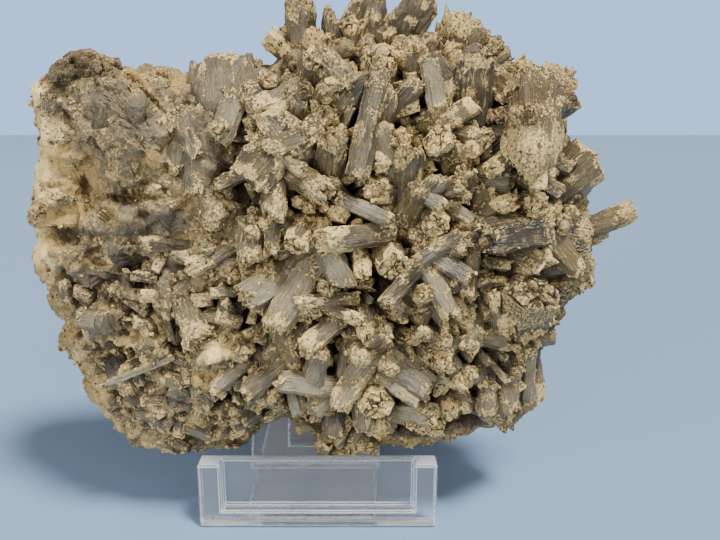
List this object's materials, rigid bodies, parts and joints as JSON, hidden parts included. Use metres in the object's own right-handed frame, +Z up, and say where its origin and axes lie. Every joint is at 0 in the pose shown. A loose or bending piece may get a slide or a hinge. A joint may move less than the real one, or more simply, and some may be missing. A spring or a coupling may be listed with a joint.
{
  "type": "aragonite specimen on display stand",
  "caption": "Cluster of six-sided aragonite crystals on a corroded matrix, leaning on a clear acrylic stand with a front bar, a tongue and a forked upright.",
  "frame": {"origin": "on the table under the middle of the stand's footprint, on the tongue's underside", "axes": "+Z up, the specimen's face looks along -Y, its width along X"},
  "size_m": [0.1142, 0.0579, 0.0989],
  "materials": {
    "aragonite": "dull crusted stone, grey-brown crystal sides with tan clay crusts",
    "clear_acrylic": "clear polished acrylic"
  },
  "bodies": {
    "root": {"aragonite_cluster": "aragonite", "stand_front": "clear_acrylic", "stand_base": "clear_acrylic", "stand_back": "clear_acrylic"}
  },
  "joints": []
}
